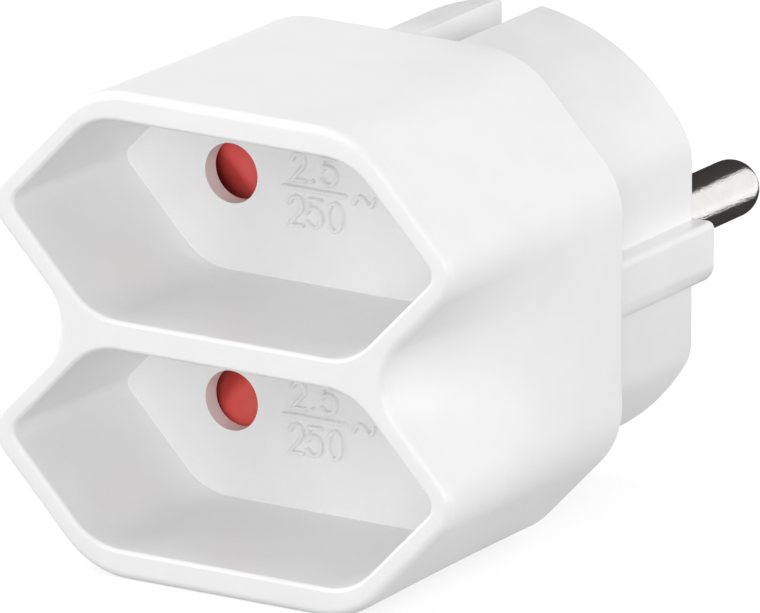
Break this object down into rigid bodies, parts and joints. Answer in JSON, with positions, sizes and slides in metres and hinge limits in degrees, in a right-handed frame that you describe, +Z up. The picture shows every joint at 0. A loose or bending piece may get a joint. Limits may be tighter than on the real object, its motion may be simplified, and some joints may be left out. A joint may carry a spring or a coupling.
{
  "type": "plug adapter",
  "caption": "White plug adapter: stacked six-sided socket recesses with red safety shutters in a waisted body, and a round plug with guide ribs and round pins behind.",
  "frame": {"origin": "the middle of the plug's face, between its two pins", "axes": "+Y along the plug's pins, away from the body; the sockets face -Y; +Z up, with one socket above the other; +X to the right as the sockets are seen"},
  "size_m": [0.0432, 0.0643, 0.0406],
  "materials": {
    "white_plastic": "fine satin moulding",
    "red_plastic": "satin moulding",
    "nickel": "bright nickel plate on brass",
    "brass": "stamped brass",
    "steel": "zinc-plated steel"
  },
  "bodies": {
    "housing": {"front_housing": "white_plastic", "plug_base": "white_plastic", "contact_carrier": "red_plastic", "housing_screw": "steel", "plug_pin_left": "nickel", "plug_pin_right": "nickel", "bus_strip_left": "brass", "bus_strip_right": "brass", "shutter_spring_upper": "steel", "contact_sleeve_upper_left": "brass", "sleeve_rivet_upper_left": "brass", "contact_sleeve_upper_right": "brass", "sleeve_rivet_upper_right": "brass", "shutter_spring_lower": "steel", "contact_sleeve_lower_left": "brass", "sleeve_rivet_lower_left": "brass", "contact_sleeve_lower_right": "brass", "sleeve_rivet_lower_right": "brass"},
    "shutter_upper": {"shutter_upper": "red_plastic"},
    "shutter_lower": {"shutter_lower": "red_plastic"}
  },
  "joints": [
    {"name": "shutter_upper_turn", "type": "hinge", "parent": "housing", "child": "shutter_upper", "pos_m": [0, -0.02525, 0.0095], "axis": [0, 1, 0], "range_deg": [0, 33.5], "stiffness_Nm_per_rad": 0.001, "springref_deg": -45.84, "deforming": ["shutter_spring_upper"]},
    {"name": "shutter_lower_turn", "type": "hinge", "parent": "housing", "child": "shutter_lower", "pos_m": [0, -0.02525, -0.0095], "axis": [0, 1, 0], "range_deg": [-33.5, 0], "stiffness_Nm_per_rad": 0.001, "springref_deg": 45.84, "deforming": ["shutter_spring_lower"]}
  ]
}
